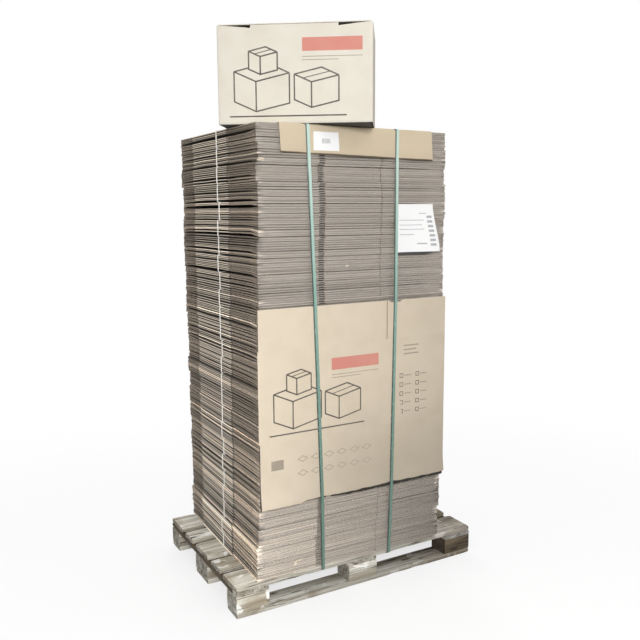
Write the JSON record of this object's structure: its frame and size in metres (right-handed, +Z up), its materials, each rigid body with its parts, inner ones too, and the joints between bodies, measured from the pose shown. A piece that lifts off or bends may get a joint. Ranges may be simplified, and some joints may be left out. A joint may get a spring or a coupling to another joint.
{
  "type": "stack of flattened boxes",
  "caption": "Flattened corrugated boxes tied in bundles and strapped onto a block pallet, with an edge cover, a flat box upright in front and a closed carton on top.",
  "frame": {"origin": "centre of the pallet's footprint, on the floor, on the underside of the middle runner", "axes": "+X along the pallet's long side to the right, +Y from the front face into the depth, +Z up"},
  "size_m": [1.2, 0.9596, 2.3282],
  "materials": {
    "pallet_wood": "weathered sawn softwood",
    "flat_boxes": "matt pale kraft",
    "cover_board": "matt brown kraft",
    "carton_board": "matt white-lined board",
    "paper": "matt white paper",
    "twine": "dull white film twine",
    "strap_band": "embossed green band"
  },
  "bodies": {
    "root": {"address_label": "paper", "block_centre_left": "pallet_wood", "block_centre_middle": "pallet_wood", "block_centre_right": "pallet_wood", "block_front_left": "pallet_wood", "block_front_middle": "pallet_wood", "block_front_right": "pallet_wood", "block_rear_left": "pallet_wood", "block_rear_middle": "pallet_wood", "block_rear_right": "pallet_wood", "bundle_01": "flat_boxes", "bundle_02": "flat_boxes", "bundle_03": "flat_boxes", "bundle_04": "flat_boxes", "bundle_05": "flat_boxes", "bundle_06": "flat_boxes", "bundle_07": "flat_boxes", "bundle_08": "flat_boxes", "bundle_09": "flat_boxes", "bundle_10": "flat_boxes", "bundle_11": "flat_boxes", "bundle_12": "flat_boxes", "bundle_13": "flat_boxes", "bundle_14": "flat_boxes", "bundle_15": "flat_boxes", "bundle_16": "flat_boxes", "bundle_17": "flat_boxes", "bundle_18": "flat_boxes", "bundle_19": "flat_boxes", "bundle_20": "flat_boxes", "bundle_21": "flat_boxes", "bundle_22": "flat_boxes", "bundle_23": "flat_boxes", "bundle_24": "flat_boxes", "bundle_25": "flat_boxes", "bundle_twine": "twine", "carton": "carton_board", "cross_board_left": "pallet_wood", "cross_board_middle": "pallet_wood", "cross_board_right": "pallet_wood", "deck_board_1": "pallet_wood", "deck_board_2": "pallet_wood", "deck_board_3": "pallet_wood", "deck_board_4": "pallet_wood", "deck_board_5": "pallet_wood", "delivery_note": "paper", "runner_centre": "pallet_wood", "runner_front": "pallet_wood", "runner_rear": "pallet_wood", "strap_left": "strap_band", "strap_right": "strap_band", "top_cover": "cover_board", "upright_sheet": "flat_boxes"}
  },
  "joints": []
}
